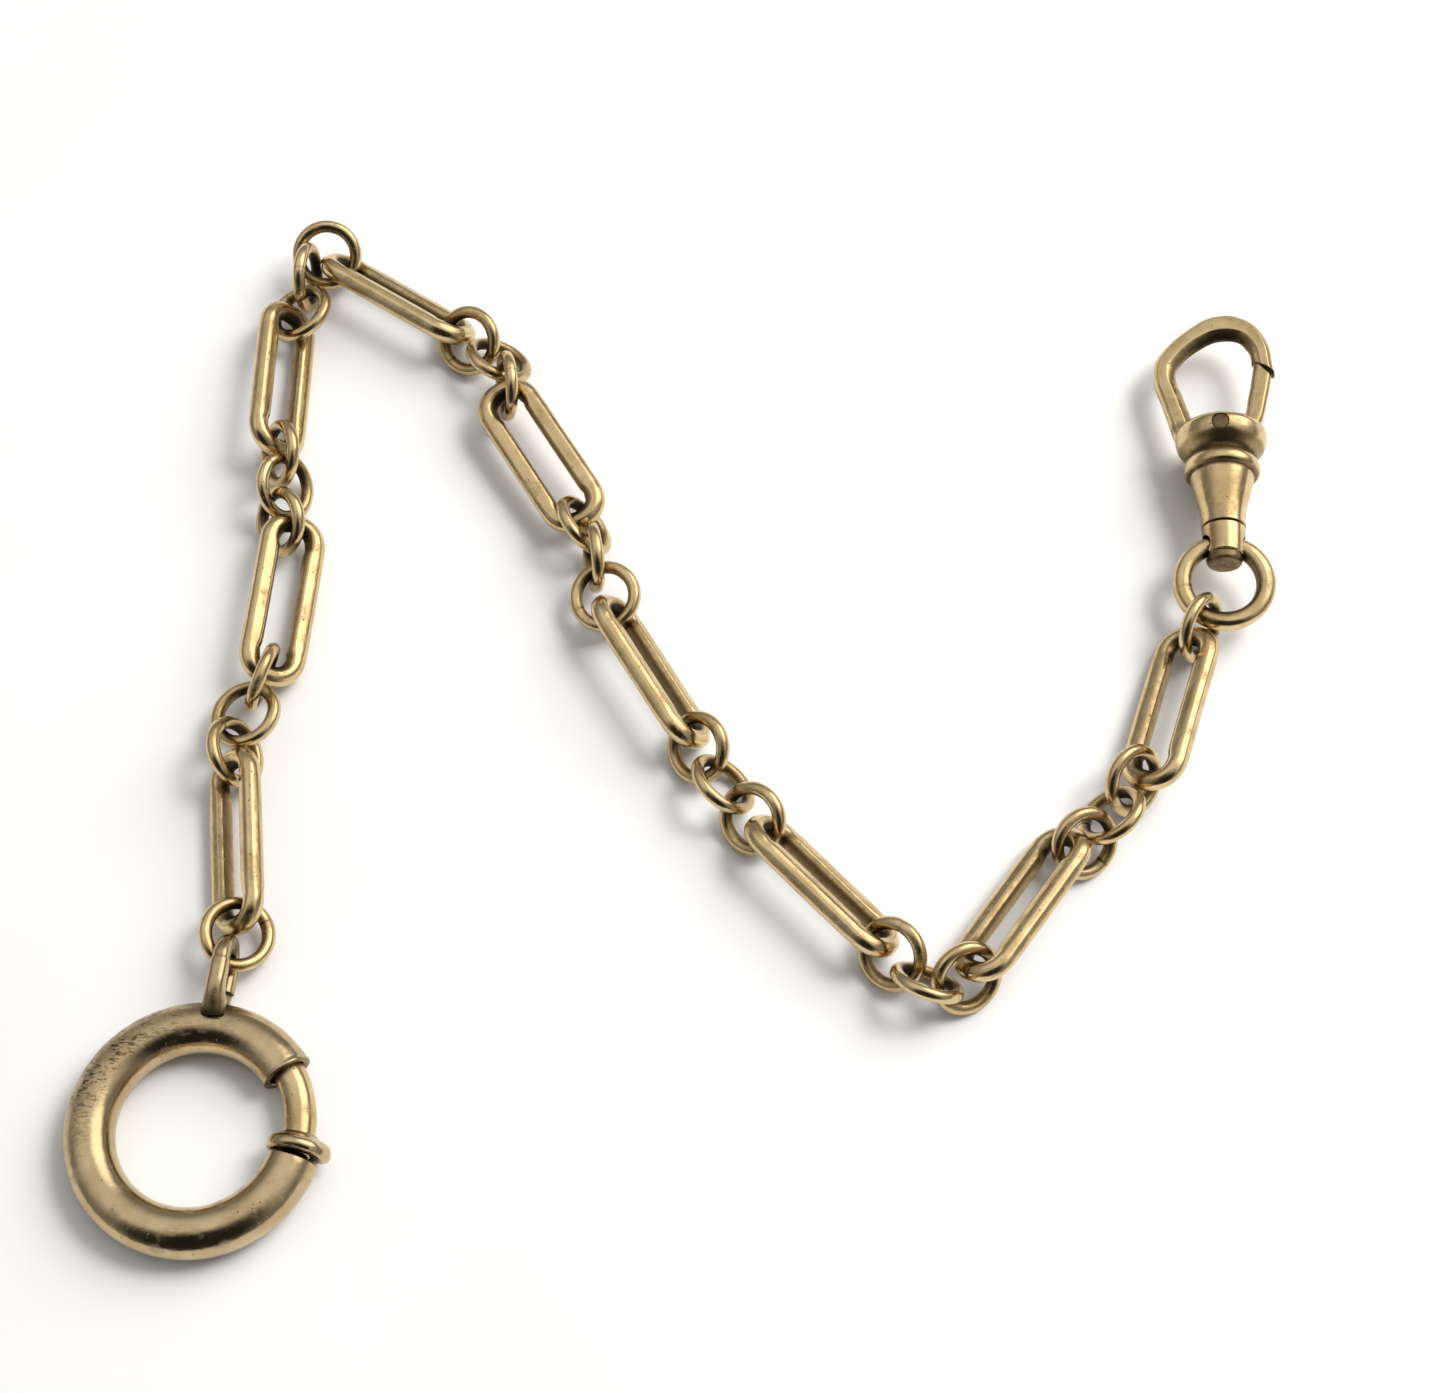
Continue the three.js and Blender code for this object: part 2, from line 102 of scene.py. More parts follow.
def math_node(t, op, a, b=None, clamp=False):
    n = t.nodes.new("ShaderNodeMath")
    n.operation = op
    n.use_clamp = clamp
    for socket, v in zip(n.inputs, (a, b)):
        if v is None:
            continue
        if isinstance(v, (int, float)):
            socket.default_value = v
        else:
            link(t, v, socket)
    return n.outputs[0]


def plus(t, a, b, clamp=False):
    return math_node(t, "ADD", a, b, clamp)


def times(t, a, b, clamp=False):
    return math_node(t, "MULTIPLY", a, b, clamp)


def larger(t, a, b):
    return math_node(t, "MAXIMUM", a, b)


def span(t, value, low, high, to_low=0.0, to_high=1.0):
    """A soft step from to_low to to_high as the value goes from low to high."""
    n = t.nodes.new("ShaderNodeMapRange")
    n.interpolation_type = "SMOOTHSTEP"
    n.inputs["From Min"].default_value = low
    n.inputs["From Max"].default_value = high
    n.inputs["To Min"].default_value = to_low
    n.inputs["To Max"].default_value = to_high
    link(t, value, n.inputs["Value"])
    return n.outputs["Result"]


def scaled(t, vector, scale, turn=(0, 0, 0)):
    n = t.nodes.new("ShaderNodeMapping")
    n.inputs["Scale"].default_value = scale
    n.inputs["Rotation"].default_value = [math.radians(a) for a in turn]
    link(t, vector, n.inputs["Vector"])
    return n.outputs["Vector"]


def noise(t, vector, scale, detail, rough, warp=0.0):
    n = t.nodes.new("ShaderNodeTexNoise")
    n.inputs["Scale"].default_value = scale
    n.inputs["Detail"].default_value = detail
    n.inputs["Roughness"].default_value = rough
    n.inputs["Distortion"].default_value = warp
    link(t, vector, n.inputs["Vector"])
    return n.outputs["Fac"]


def blend(t, factor, a, b):
    n = t.nodes.new("ShaderNodeMix")
    n.data_type = "RGBA"
    link(t, factor, n.inputs["Factor"])
    for socket, v in ((n.inputs[6], a), (n.inputs[7], b)):  # the two colour sockets
        if isinstance(v, tuple):
            socket.default_value = (*v, 1)
        else:
            link(t, v, socket)
    return n.outputs[2]


def attribute(t, name):
    n = t.nodes.new("ShaderNodeAttribute")
    n.attribute_name = name
    return n.outputs["Fac"]


# the turn in degrees and the stretch per mm of each noise that scratches and gouges follow
SCRATCH_WAYS = (
    ((12, 25, 38), (0.55, 9, 6)), ((-20, 8, -52), (0.7, 11, 5)), ((5, -30, 95), (0.5, 8, 8)),
)
GOUGE_WAYS = (((8, 14, 62), (1.1, 5.5, 5.5)), ((-10, 6, -28), (1.3, 6.5, 4.5)))
RIDGE_WIDE = 0.018
BUMP_DEEP, BUMP_STRENGTH = 0.00005, 0.5


def strongest(t, mm, ways, detail, rough, shape):
    """The strongest of several stretched noises, each run through shape."""
    best = None
    for turn, stretch in ways:
        one = shape(noise(t, scaled(t, mm, stretch, turn), 1.0, detail, rough))
        best = one if best is None else larger(t, best, one)
    return best


def metal(name, light, deep, tarnish_and_shade, soot_and_shade, roughness):
    """Old metal: polished high spots, brown tarnish and painted shade in the hollows, pits, fine scratches and
    gouges.
    """
    m, t, shader = tree_of(name)
    mm = scaled(t, t.nodes.new("ShaderNodeTexCoord").outputs["Object"], (1 / MM,) * 3)
    broad = noise(t, mm, scale=0.45, detail=3, rough=0.5)
    dents = noise(t, mm, scale=0.9, detail=2, rough=0.5)
    patch = noise(t, mm, scale=1.7, detail=6, rough=0.65, warp=0.4)
    fine = noise(t, mm, scale=9.0, detail=4, rough=0.6)
    grime_and_shade, wear, scuff = (attribute(t, key) for key in ("grime_and_shade", "wear", "scuff"))

    # brown where the polish never reaches and painted shade in the hollows and where pieces meet, broken up by
    # noise, and black in the deepest of it
    uneven = times(t, plus(t, patch, -0.5), 0.5)
    stain_and_shade = plus(t, plus(t, grime_and_shade, uneven), times(t, wear, -0.25))
    brown = span(t, stain_and_shade, 0.05, 0.55)
    black = span(t, stain_and_shade, 0.5, 0.95)

    # pits: a few cells of a Voronoi pattern, each with a small dark dimple
    cells = t.nodes.new("ShaderNodeTexVoronoi")
    cells.inputs["Scale"].default_value = 1.9
    link(t, mm, cells.inputs["Vector"])
    picked = t.nodes.new("ShaderNodeSeparateColor")
    link(t, cells.outputs["Color"], picked.inputs["Color"])
    dimple = span(t, cells.outputs["Distance"], 0.05, 0.17, 1.0, 0.0)
    few = span(t, picked.outputs["Red"], 0.62, 0.7)
    pit = times(t, dimple, few, True)

    # scratches: thin ridges of three stretched noises, in patches and wherever the metal is scuffed
    def ridge(f):
        return span(t, math_node(t, "ABSOLUTE", plus(t, f, -0.5)), 0.0, RIDGE_WIDE, 1.0, 0.0)

    patches = times(t, span(t, noise(t, mm, scale=0.6, detail=2, rough=0.5), 0.52, 0.68), 0.7)
    scratch = times(t, strongest(t, mm, SCRATCH_WAYS, 2, 0.5, ridge), larger(t, patches, scuff), True)

    # gouges: short dark strokes of two stretched noises, bunched by a third, where it is scuffed
    stroke = strongest(t, mm, GOUGE_WAYS, 3, 0.55, lambda f: span(t, f, 0.555, 0.605))
    bunched = span(t, noise(t, mm, scale=0.75, detail=3, rough=0.6), 0.42, 0.54)
    gouge = times(t, times(t, stroke, bunched), scuff, True)

    rubbed = tuple(min(1, c * 1.12) for c in light)
    colour = blend(t, span(t, broad, 0.35, 0.65), light, deep)
    # the brown and black laid on here are partly tarnish and partly painted shade
    for amount, share, over in (
        (wear, 0.5, rubbed), (brown, 0.72, tarnish_and_shade), (black, 0.85, soot_and_shade),
        (pit, 0.75, soot_and_shade), (scratch, 0.6, tarnish_and_shade), (gouge, 0.9, soot_and_shade),
    ):
        colour = blend(t, times(t, amount, share, True), colour, over)
    link(t, colour, shader.inputs["Base Color"])

    rough = plus(t, times(t, patch, 0.14), roughness - 0.05)
    for amount, share in ((brown, 0.14), (black, 0.2), (larger(t, scratch, pit), 0.12)):
        rough = plus(t, rough, times(t, amount, share), True)
    link(t, rough, shader.inputs["Roughness"])
    shader.inputs["Metallic"].default_value = 1.0

    height = times(t, fine, 0.08)
    for amount, share in ((patch, 0.34), (dents, 1.1), (pit, -0.9), (scratch, -0.22), (gouge, -0.5)):
        height = plus(t, height, times(t, amount, share))
    bump = t.nodes.new("ShaderNodeBump")
    bump.inputs["Strength"].default_value = BUMP_STRENGTH
    bump.inputs["Distance"].default_value = BUMP_DEEP
    link(t, height, bump.inputs["Height"])
    link(t, bump.outputs["Normal"], shader.inputs["Normal"])
    return m


GOLD = metal(
    "antique_gold", light=(0.68, 0.515, 0.28), deep=(0.56, 0.40, 0.195),
    tarnish_and_shade=(0.20, 0.13, 0.06), soot_and_shade=(0.022, 0.016, 0.011), roughness=0.17,
)
ROSE = metal(
    "rose_gold", light=(0.58, 0.445, 0.26), deep=(0.48, 0.355, 0.195),
    tarnish_and_shade=(0.19, 0.125, 0.065), soot_and_shade=(0.022, 0.017, 0.012), roughness=0.145,
)
DARK = metal(
    "rivet_brown", light=(0.30, 0.215, 0.12), deep=(0.22, 0.15, 0.08),
    tarnish_and_shade=(0.10, 0.065, 0.035), soot_and_shade=(0.03, 0.02, 0.012), roughness=0.38,
)
STEEL = metal(
    "old_steel", light=(0.42, 0.41, 0.39), deep=(0.30, 0.29, 0.27),
    tarnish_and_shade=(0.16, 0.12, 0.09), soot_and_shade=(0.03, 0.025, 0.02), roughness=0.3,
)


def table_top():
    """Pale paper, very slightly cloudy."""
    m, t, shader = tree_of("table_paper")
    coords = t.nodes.new("ShaderNodeTexCoord").outputs["Object"]
    cloud = noise(t, coords, scale=22, detail=4, rough=0.5)
    colour = blend(t, span(t, cloud, 0.3, 0.7), (0.845, 0.845, 0.845), (0.875, 0.88, 0.885))
    link(t, colour, shader.inputs["Base Color"])
    shader.inputs["Roughness"].default_value = 0.62
    return m


# ---------------------------------------------------------------- mesh tools
def unit(v):
    return v / np.linalg.norm(v)


def near(x, width):
    """1 where x is 0, falling away smoothly over the width."""
    return np.exp(-((x / width) ** 2))


def share_of(x):
    return np.clip(x, 0, 1)


def circle(count):
    """Angles once round, in radians."""
    return np.linspace(0, 2 * np.pi, count, endpoint=False)


def level(angles):
    """Directions in the xy plane."""
    return np.stack([np.cos(angles), np.sin(angles), 0 * angles], 1)


def upright(count):
    return np.tile([0.0, 0.0, 1.0], (count, 1))


def section_of(r, phi):
    return np.stack([r * np.cos(phi), r * np.sin(phi)], -1)


def off_angle(s, at):
    """How far each angle is from one, the short way round, in radians."""
    return (s - at + np.pi) % (2 * np.pi) - np.pi


def waves(count, size, lobes):
    """A smooth closed random wobble, with so many lobes."""
    s = circle(count)
    out = np.zeros(count)
    for n in lobes:
        out += rng.uniform(-1, 1) * np.cos(n * s + rng.uniform(0, FULL_TURN)) / n
    return out * size


class Place:
    """A piece's own axes and middle in the row's frame. Its points are in mm."""

    def __init__(self, middle, x, y, z):
        self.middle, self.axes = np.array(middle, float), np.array([x, y, z], float)

    def out(self, points):
        return self.middle + (np.asarray(points, float) @ self.axes) * MM

    def back(self, points):
        return ((np.asarray(points, float) - self.middle) @ self.axes.T) / MM


def coords_of(me):
    co = np.empty(len(me.vertices) * 3)
    me.vertices.foreach_get("co", co)
    return co.reshape(-1, 3)


def flat_place(name, back, front):
    """The middle and axes of a flat chain piece: x along the chain, z square to its plane."""
    p = np.unique(np.round(coords_of(frame["nodes"][name].data), 7), axis=0)
    middle = p.mean(0)
    spread = np.linalg.eigh(np.cov((p - middle).T))[1]
    normal = spread[:, 0] * (1 if spread[2, 0] >= 0 else -1)
    ahead = np.array(front, float) - np.array(back, float)
    if name.startswith("link"):
        along = spread[:, 2]
        ahead = along * (1 if along @ ahead >= 0 else -1)
    ahead = unit(ahead - normal * (ahead @ normal))
    return Place(middle, ahead, np.cross(normal, ahead), normal)


def put(name, me):
    o = bpy.data.objects.new(name, me)
    bpy.context.scene.collection.objects.link(o)
    return o


def finish_piece(node, me, material, creases):
    """Puts a fine mesh in the scene, in place of the CAD node that it stands for."""
    me.name = node + "_fine"
    me.validate()
    me.materials.append(material)
    me.polygons.foreach_set("use_smooth", [True] * len(me.polygons))
    me.set_sharp_from_angle(angle=math.radians(creases))
    o = put(node + "_fine", me)
    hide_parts(node)
    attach(o, body_of[node])


def facing_out(me):
    bm = bmesh.new()
    bm.from_mesh(me)
    bmesh.ops.recalc_face_normals(bm, faces=bm.faces[:])
    if bm.calc_volume(signed=True) < 0:
        bmesh.ops.reverse_faces(bm, faces=bm.faces[:])
    bm.to_mesh(me)
    bm.free()


def shade(me, key, values):
    """Stores one value a point: grime and painted shade, wear or scuff, which the metal reads."""
    me.attributes.new(key, "FLOAT", "POINT").data.foreach_set("value", np.asarray(values, np.float32))


def skin(grid, closed, marks=None):
    """A mesh through rows of points: grid is rows x points in a row x 3, in metres."""
    rows, count = grid.shape[:2]
    faces = []
    for i in range(rows if closed else rows - 1):
        j = (i + 1) % rows
        for k in range(count):
            n = (k + 1) % count
            faces.append((i * count + k, i * count + n, j * count + n, j * count + k))
    if not closed:
        faces.append(tuple(range(count)))
        faces.append(tuple((rows - 1) * count + k for k in range(count)))
    me = bpy.data.meshes.new("skin")
    me.from_pydata(grid.reshape(-1, 3).tolist(), [], faces)
    for key, values in (marks or {}).items():
        shade(me, key, np.broadcast_to(values, (rows, count)).reshape(-1))
    facing_out(me)
    return me


def sweep(line, outward, up, sections):
    """Section points (a, b) carried along a line: a goes outward, b goes up."""
    a, b = sections[..., 0:1], sections[..., 1:2]
    return line[:, None, :] + outward[:, None, :] * a + up[:, None, :] * b


def rounded(corners, radius, crown):
    """A polygon with rounded corners and slightly crowned sides. Also says where the corners are."""
    points, corner = [], []
    longest = 0.45  # the most of a side that a corner may take
    c = [np.array(p, float) for p in corners]
    for i, here in enumerate(c):
        before, after = c[i - 1], c[(i + 1) % len(c)]
        to_before, to_after = unit(before - here), unit(after - here)
        half = math.acos(np.clip(to_before @ to_after, -1, 1)) / 2
        shorter = min(np.linalg.norm(before - here), np.linalg.norm(after - here))
        cut_off = min(radius / math.tan(half), longest * shorter)
        for k in range(CORNER_STEPS):
            s = k / (CORNER_STEPS - 1)
            bend = (1 - s) ** 2 * (here + to_before * cut_off) + s * s * (here + to_after * cut_off)
            points.append(bend + 2 * s * (1 - s) * here)
            corner.append(1.0)
        far = after + (here - after) * min(longest, radius / np.linalg.norm(after - here))
        start = points[-1]
        side = far - start
        for k in (0.25, 0.5, 0.75):
            points.append(start + side * k + np.array([side[1], -side[0]]) * crown * 4 * k * (1 - k))
            corner.append(0.0)
    return np.array(points), np.array(corner)


def octagon(half, high, cut_in, cut_out, radius, crown):
    """The section of a chamfered bar: a runs from -half inside to half outside, b from -high to high."""
    corners = [
        (half - cut_out, -high), (half, -high + cut_out), (half, high - cut_out), (half - cut_out, high),
        (-half + cut_in, high), (-half, high - cut_in), (-half, -high + cut_in), (-half + cut_in, -high),
    ]
    return rounded(corners, radius, crown)


# ---------------------------------------------------------------- the chain
def ring_mesh(place, radius, wire, touches, steps, sides, flats, wobble):
    """A jump ring: round wire worn thin where its neighbours pull, with a solder seam."""
    s, phi = circle(steps), circle(sides)
    big = radius + waves(steps, wobble, (2, 3))
    pull = np.zeros(steps)
    for p in touches:
        x, y, _ = place.back(p)
        pull = np.maximum(pull, near(off_angle(s, math.atan2(y, x)), TOUCH_WIDE))
    seam_at = rng.uniform(0.6, 2.5) * rng.choice([-1, 1])
    seam = near(off_angle(s, seam_at) * radius, SEAM_WIDE)[:, None]
    thick = wire * (1 + waves(steps, 0.018, (2, 3, 5)) - 0.05 * pull)
    inside = share_of(-np.cos(phi))[None, :]
    r = thick[:, None] * (1 - 0.05 * seam * (1 - 0.6 * inside))
    # a hand-closed ring isn't quite round in section: slow flats run round it
    turn = waves(steps, 0.5, (1, 2))[:, None]
    r = r * (1 - flats * (0.5 + 0.5 * np.cos(4 * (phi[None, :] + turn))))
    grid = sweep(level(s) * big[:, None], level(s), upright(steps), section_of(r, phi))
    # tarnish and painted shade on the ring's inside and where its neighbours pull; the solder seam is darker of
    # itself
    grime_and_shade = 0.72 * inside**1.3 + 0.75 * pull[:, None] * (0.4 + inside) + 0.6 * seam - 0.05
    wear = share_of(np.cos(phi))[None, :] ** 3 * 0.6
    return skin(place.out(grid), True, {"grime_and_shade": grime_and_shade, "wear": wear})


def link_line():
    """The middle of a link's bar: round one bow, back along a rail, round the other bow and back."""
    line = []
    for side in (1, -1):
        for i in range(LINK_ROWS):
            a = -math.pi / 2 + math.pi * (i + 0.5) / LINK_ROWS
            c, s = math.cos(a), math.sin(a)
            x = LINK_STRAIGHT + LINK_BEND * abs(c) ** BOW_POWER
            line.append((side * x, side * LINK_BEND * math.copysign(abs(s) ** BOW_POWER, s)))
        for i in range(LINK_ROWS):
            x = LINK_STRAIGHT * (1 - 2 * (i + 0.5) / LINK_ROWS)
            line.append((side * x, side * LINK_BEND))
    return np.array(line)


def link_mesh(place, touches):
    """A long link: a chamfered bar bent into a slot shape, its bows rounder and pinched at the bends."""
    line = link_line()
    n = len(line)
    tangent = np.roll(line, -1, 0) - np.roll(line, 1, 0)
    tangent /= np.linalg.norm(tangent, axis=1)[:, None]
    outward = np.stack([tangent[:, 1], -tangent[:, 0]], 1)
    past = np.abs(line[:, 0]) - LINK_STRAIGHT  # how far past the start of the bow
    bow = 1 / (1 + np.exp(-past / BOW_FADE))
    rail, corner = octagon(*LINK_RAIL)
    bent, _ = octagon(*LINK_BOW)
    section = rail[None] * (1 - bow[:, None, None]) + bent[None] * bow[:, None, None]
    inside = share_of(-section[..., 0] / LINK_HALF_WIDE)
    pinch = near(past + 0.05, 0.28)[:, None]
    section[..., 0] += 0.1 * pinch * inside
    section[..., 1] *= 1 - 0.05 * pinch
    thick = 0.985 + waves(n, 0.015, (2, 5, 9))
    section = section * thick[:, None, None]
    sway = waves(n, 0.04, (2, 3, 4))
    flat = np.zeros((n, 1))
    middle = np.hstack([line + outward * sway[:, None], flat])
    grid = sweep(middle, np.hstack([outward, flat]), upright(n), section)
    rub = LINK_STRAIGHT + LINK_BEND - LINK_TOUCH_IN
    pull = np.zeros((n, len(rail)))
    for p in touches:
        x, y, _ = place.back(p)
        reach = np.hypot(grid[..., 0] - math.copysign(rub, x), grid[..., 1] - np.clip(y, -1, 1))
        pull = np.maximum(pull, near(reach, LINK_TOUCH_WIDE))
    # tarnish and painted shade on the link's inside, where its neighbours pull, at the pinched bends and a little
    # round the bows
    grime_and_shade = 0.62 * inside**1.3 + pull * (0.45 + 0.55 * inside) - 0.05
    grime_and_shade += 0.4 * pinch * inside + 0.12 * bow[:, None]
    wear = corner[None] * (1 - 0.6 * inside)
    return skin(place.out(grid), True, {"grime_and_shade": grime_and_shade, "wear": wear})


swings = [j for j in frame["joints"] if j["name"].endswith("_swing")]
chain = [j["child"] for j in swings if j["child"] != "swivel_stud"]
meets = {j["child"]: np.array(j["pos_m"]) for j in swings}
for name, following in zip(chain, chain[1:] + ["swivel_stud"]):
    touches = (meets[name], meets[following])
    place = flat_place(name, *touches)
    if name.startswith("link"):
        me = link_mesh(place, touches)
    elif name.startswith("ring"):
        wire = RING_WIRE / 2 * RING_WORN
        me = ring_mesh(place, RING_R, wire, touches, steps=84, sides=20, flats=0.03, wobble=0.015)
    else:
        me = ring_mesh(
            place, SWIVEL_RING_R, SWIVEL_WIRE_R, touches, steps=120, sides=28, flats=0.05, wobble=0.03,
        )
    finish_piece(name, me, GOLD, creases=50)

# ---------------------------------------------------------------- the bolt ring
bolt = Place(joints["tongue_slide"]["pos_m"], (1, 0, 0), (0, 1, 0), (0, 0, 1))


def round_bar(rows, sides):
    """Circles of (angle in degrees, radius) rows round the bolt ring's own circle: a bar or a tube."""
    a = np.radians(rows[:, 0])
    phi = circle(sides)[None, :]
    section = section_of(rows[:, 1:], phi)
    return sweep(level(a) * BOLT_R, level(a), upright(len(a)), section), phi


def bolt_tube():
    """The tube: a rolled lip at the mouth, the long outside, the closed end's edge, then back inside."""
    lip = [
        (MOUTH + 0.9, BORE_R), (MOUTH + 0.25, BORE_R + 0.03), (MOUTH - 0.15, BORE_R + 0.14),
        (MOUTH - 0.3, BORE_R + 0.28), (MOUTH - 0.2, TUBE_R - 0.06), (MOUTH + 0.15, TUBE_R + 0.02),
        (MOUTH + 0.7, TUBE_R + 0.05), (MOUTH + 1.5, TUBE_R + 0.035), (MOUTH + 2.2, TUBE_R - 0.01),
        (MOUTH + 3.2, TUBE_R),
    ]
    run = [(a, TUBE_R) for a in np.linspace(MOUTH + 5, SEAT - 4, 200)]
    foot = [
        (SEAT - 1.2, TUBE_R), (SEAT - 0.35, TUBE_R - 0.02), (SEAT - 0.05, TUBE_R - 0.1),
        (SEAT, BORE_R + 0.12), (SEAT - 0.2, BORE_R + 0.02), (SEAT - 1, BORE_R),
    ]
    back = [(a, BORE_R) for a in np.linspace(SEAT - 6, MOUTH + 5, 60)]
    rows = np.array(lip + run + foot + back)
    grid, phi = round_bar(rows, TUBE_SIDES)
    outside = (np.arange(len(rows)) < len(lip) + len(run) + 2)[:, None]
    dent = waves(len(rows), 0.012, (5, 9, 14))[:, None] * np.cos(phi) * outside
    grid += dent[..., None] * np.array([0, 0, 1.0])
    a = rows[:, :1]
    inner = share_of(-np.cos(phi))
    shown = share_of(np.cos(phi - OUTER_TOP))
    rubbed = near(a - RUBBED_AT, RUBBED_WIDE) * shown**0.6
    # tarnish and painted shade on the tube's inner side, at its mouth and closed end; darker round the eye's foot;
    # painted shade all over inside the bore; the scuffed stretch is darker of itself
    grime_and_shade = 0.10 * inner + 0.26 * rubbed
    grime_and_shade += 0.75 * near(a - MOUTH + 0.1, 0.5) + 0.5 * near(a - SEAT, 1.2)
    grime_and_shade += near(a - EYE_AT, 13) * shown**3
    marks = {
        "grime_and_shade": np.where(outside, grime_and_shade, 1.0),
        "wear": 0.3 * outside,
        "scuff": 1.4 * rubbed * outside,
    }
    return skin(bolt.out(grid), True, marks)


finish_piece("ring_tube", bolt_tube(), ROSE, creases=60)


def tongue():
    """A solid bar with rounded ends, which enters the tube's mouth a little off its middle."""
    cap = math.degrees(TONGUE_R / BOLT_R)
    face, deep = 0.72, 0.35  # the end face's share of the radius, and how deep its rounding is, in caps

    def end(at, way, turns):
        return [
            (at + way * deep * cap * (1 - math.cos(t)), TONGUE_R * (face + (1 - face) * math.sin(t)))
            for t in np.radians(turns)
        ]

    rows = end(TONGUE_FROM, 1, [0, 30, 60, 90])
    rows += [(a, TONGUE_R) for a in np.linspace(TONGUE_FROM + 4, TONGUE_TO - 4, 90)]
    rows += end(TONGUE_TO, -1, [90, 60, 30, 0])
    rows = np.array(rows)
    grid, phi = round_bar(rows, TONGUE_SIDES)
    aside = 0.16 * near(rows[:, 0] - 30, 18)
    grid += (level(np.radians(rows[:, 0])) * aside[:, None])[:, None, :]
    a = rows[:, :1]
    # tarnish and painted shade on the tongue's inner side, at the tube's mouth and beside the collar; painted
    # shade all over where it lies inside the tube
    grime_and_shade = 0.12 * share_of(-np.cos(phi)) + 0.55 * near(a - MOUTH, 3.0) + 0.35 * near(a - COLLAR_AT, 5)
    grime_and_shade = np.where(a > MOUTH + 2, 0.8, grime_and_shade)
    return skin(bolt.out(grid), False, {"grime_and_shade": grime_and_shade, "wear": 0.4 * share_of(np.cos(phi))})


finish_piece("tongue", tongue(), GOLD, creases=50)


def collar():
    """The thumb collar: a rounded band with a lobe that stands out on the outside of the ring."""
    across = np.array([  # radius from the tongue's middle, place along it
        (TONGUE_R + 0.08, -0.46), (1.75, -0.52), (2.02, -0.5), (2.2, -0.38), (2.27, -0.14), (2.25, 0.14),
        (2.14, 0.36), (1.98, 0.5), (1.8, 0.6), (1.58, 0.72), (1.38, 0.9), (TONGUE_R + 0.08, 1.02),
    ])
    shares = (across[:, 0] - TONGUE_R) / (COLLAR_R - TONGUE_R)
    phi = circle(COLLAR_STEPS)
    lobe = share_of(np.cos(phi)) ** 3
    place = math.radians(COLLAR_AT)
    outward = np.array([math.cos(place), math.sin(place), 0])
    along = np.array([-math.sin(place), math.cos(place), 0])
    grid = np.zeros((COLLAR_STEPS, len(across), 3))
    for i, p in enumerate(phi):
        for k, (r, h) in enumerate(across):
            share = shares[k]
            nick = 0.16 * near(p - 0.55, 0.16) * near(h - 0.4, 0.25) * share
            rr = r + share * (0.42 * lobe[i] - 0.05 * max(0, -math.cos(p))) - nick
            hh = h * (1 + 0.3 * lobe[i] * share) - 0.12 * lobe[i] * share
            high = rr * math.sin(p) + COLLAR_LIFT * min(1, max(0, share))
            grid[i, k] = outward * (BOLT_R + rr * math.cos(p)) + along * hh + np.array([0, 0, high])
    ground = -joints["tongue_slide"]["pos_m"][2] / MM
    grid[..., 2] = np.maximum(grid[..., 2], ground)
    # darker towards the tongue, where collar and tongue meet, and along one edge: tarnish and painted shade
    grime_and_shade = 0.75 * (1 - shares) ** 2 + 0.25 * near(across[:, 1] + 0.5, 0.12)
    return skin(bolt.out(grid), True, {"grime_and_shade": grime_and_shade[None], "wear": share_of(shares)[None] * 0.8})


finish_piece("tongue_collar", collar(), ROSE, creases=45)


def eye():
    """A staple of wire on the tube. Its top leg swells into the solder, its lower one ends in a ferrule."""
    step = BOLT_R + 3.0  # where the lower leg steps down out of its ferrule
    points, radii, seams = [], [], []
    for x in np.linspace(BOLT_R + 0.9, EYE_BOW, 36)[:-1]:
        down = np.clip((BOLT_R + 3.1 - x) / 2.2, 0, 1)
        points.append((x, EYE_HALF - 0.95 * down**1.7))
        radii.append(EYE_R + 0.08 + 0.22 * down**2)
        seams.append(0.85 * down**2)
    for t in np.radians(np.linspace(90, -90, 30)):
        points.append((EYE_BOW + EYE_HALF * math.cos(t), EYE_HALF * math.sin(t)))
        radii.append(EYE_R + 0.02 * math.cos(3 * t))
        seams.append(0.0)
    for x in np.r_[
        np.linspace(EYE_BOW, step + 0.1, 14)[1:],
        step + 0.04, step, step - 0.02, step - 0.1,
        np.linspace(step - 0.3, BOLT_R + 1.25, 10),
    ]:
        points.append((x, -EYE_HALF))
        swell = 0.03 if x > step + 0.05 else (-0.05 if x > step + 0.02 else -0.13)
        radii.append(EYE_R + swell)
        seams.append(1.2 * near(x - step + 0.02, 0.09) + (0.25 if x < step else 0))
    points = np.array(points)
    tangent = np.gradient(points, axis=0)
    tangent /= np.linalg.norm(tangent, axis=1)[:, None]
    turn = math.radians(EYE_AT)
    radial = np.array([math.cos(turn), math.sin(turn), 0])
    side = np.array([-math.sin(turn), math.cos(turn), 0])
    upward = np.array([0, 0, 1.0])
    line = radial * points[:, :1] + upward * points[:, 1:] + upward * EYE_LIFT
    outward = radial * -tangent[:, 1:] + upward * tangent[:, :1]
    phi = circle(EYE_SIDES)[None]
    r = np.array(radii)[:, None] * (1 - 0.05 * (0.5 + 0.5 * np.cos(4 * phi)))
    grid = sweep(line, outward, np.tile(side, (len(points), 1)), section_of(r, phi))
    tip = near(np.hypot(points[:, 0] - EYE_BOW - 1.4, points[:, 1]), 1.1)
    grime_and_shade = np.array(seams)[:, None] + 0.4 * tip[:, None] + 0.16
    return skin(bolt.out(grid), False, {"grime_and_shade": grime_and_shade, "wear": 0.5 * np.abs(np.sin(phi)) ** 3})


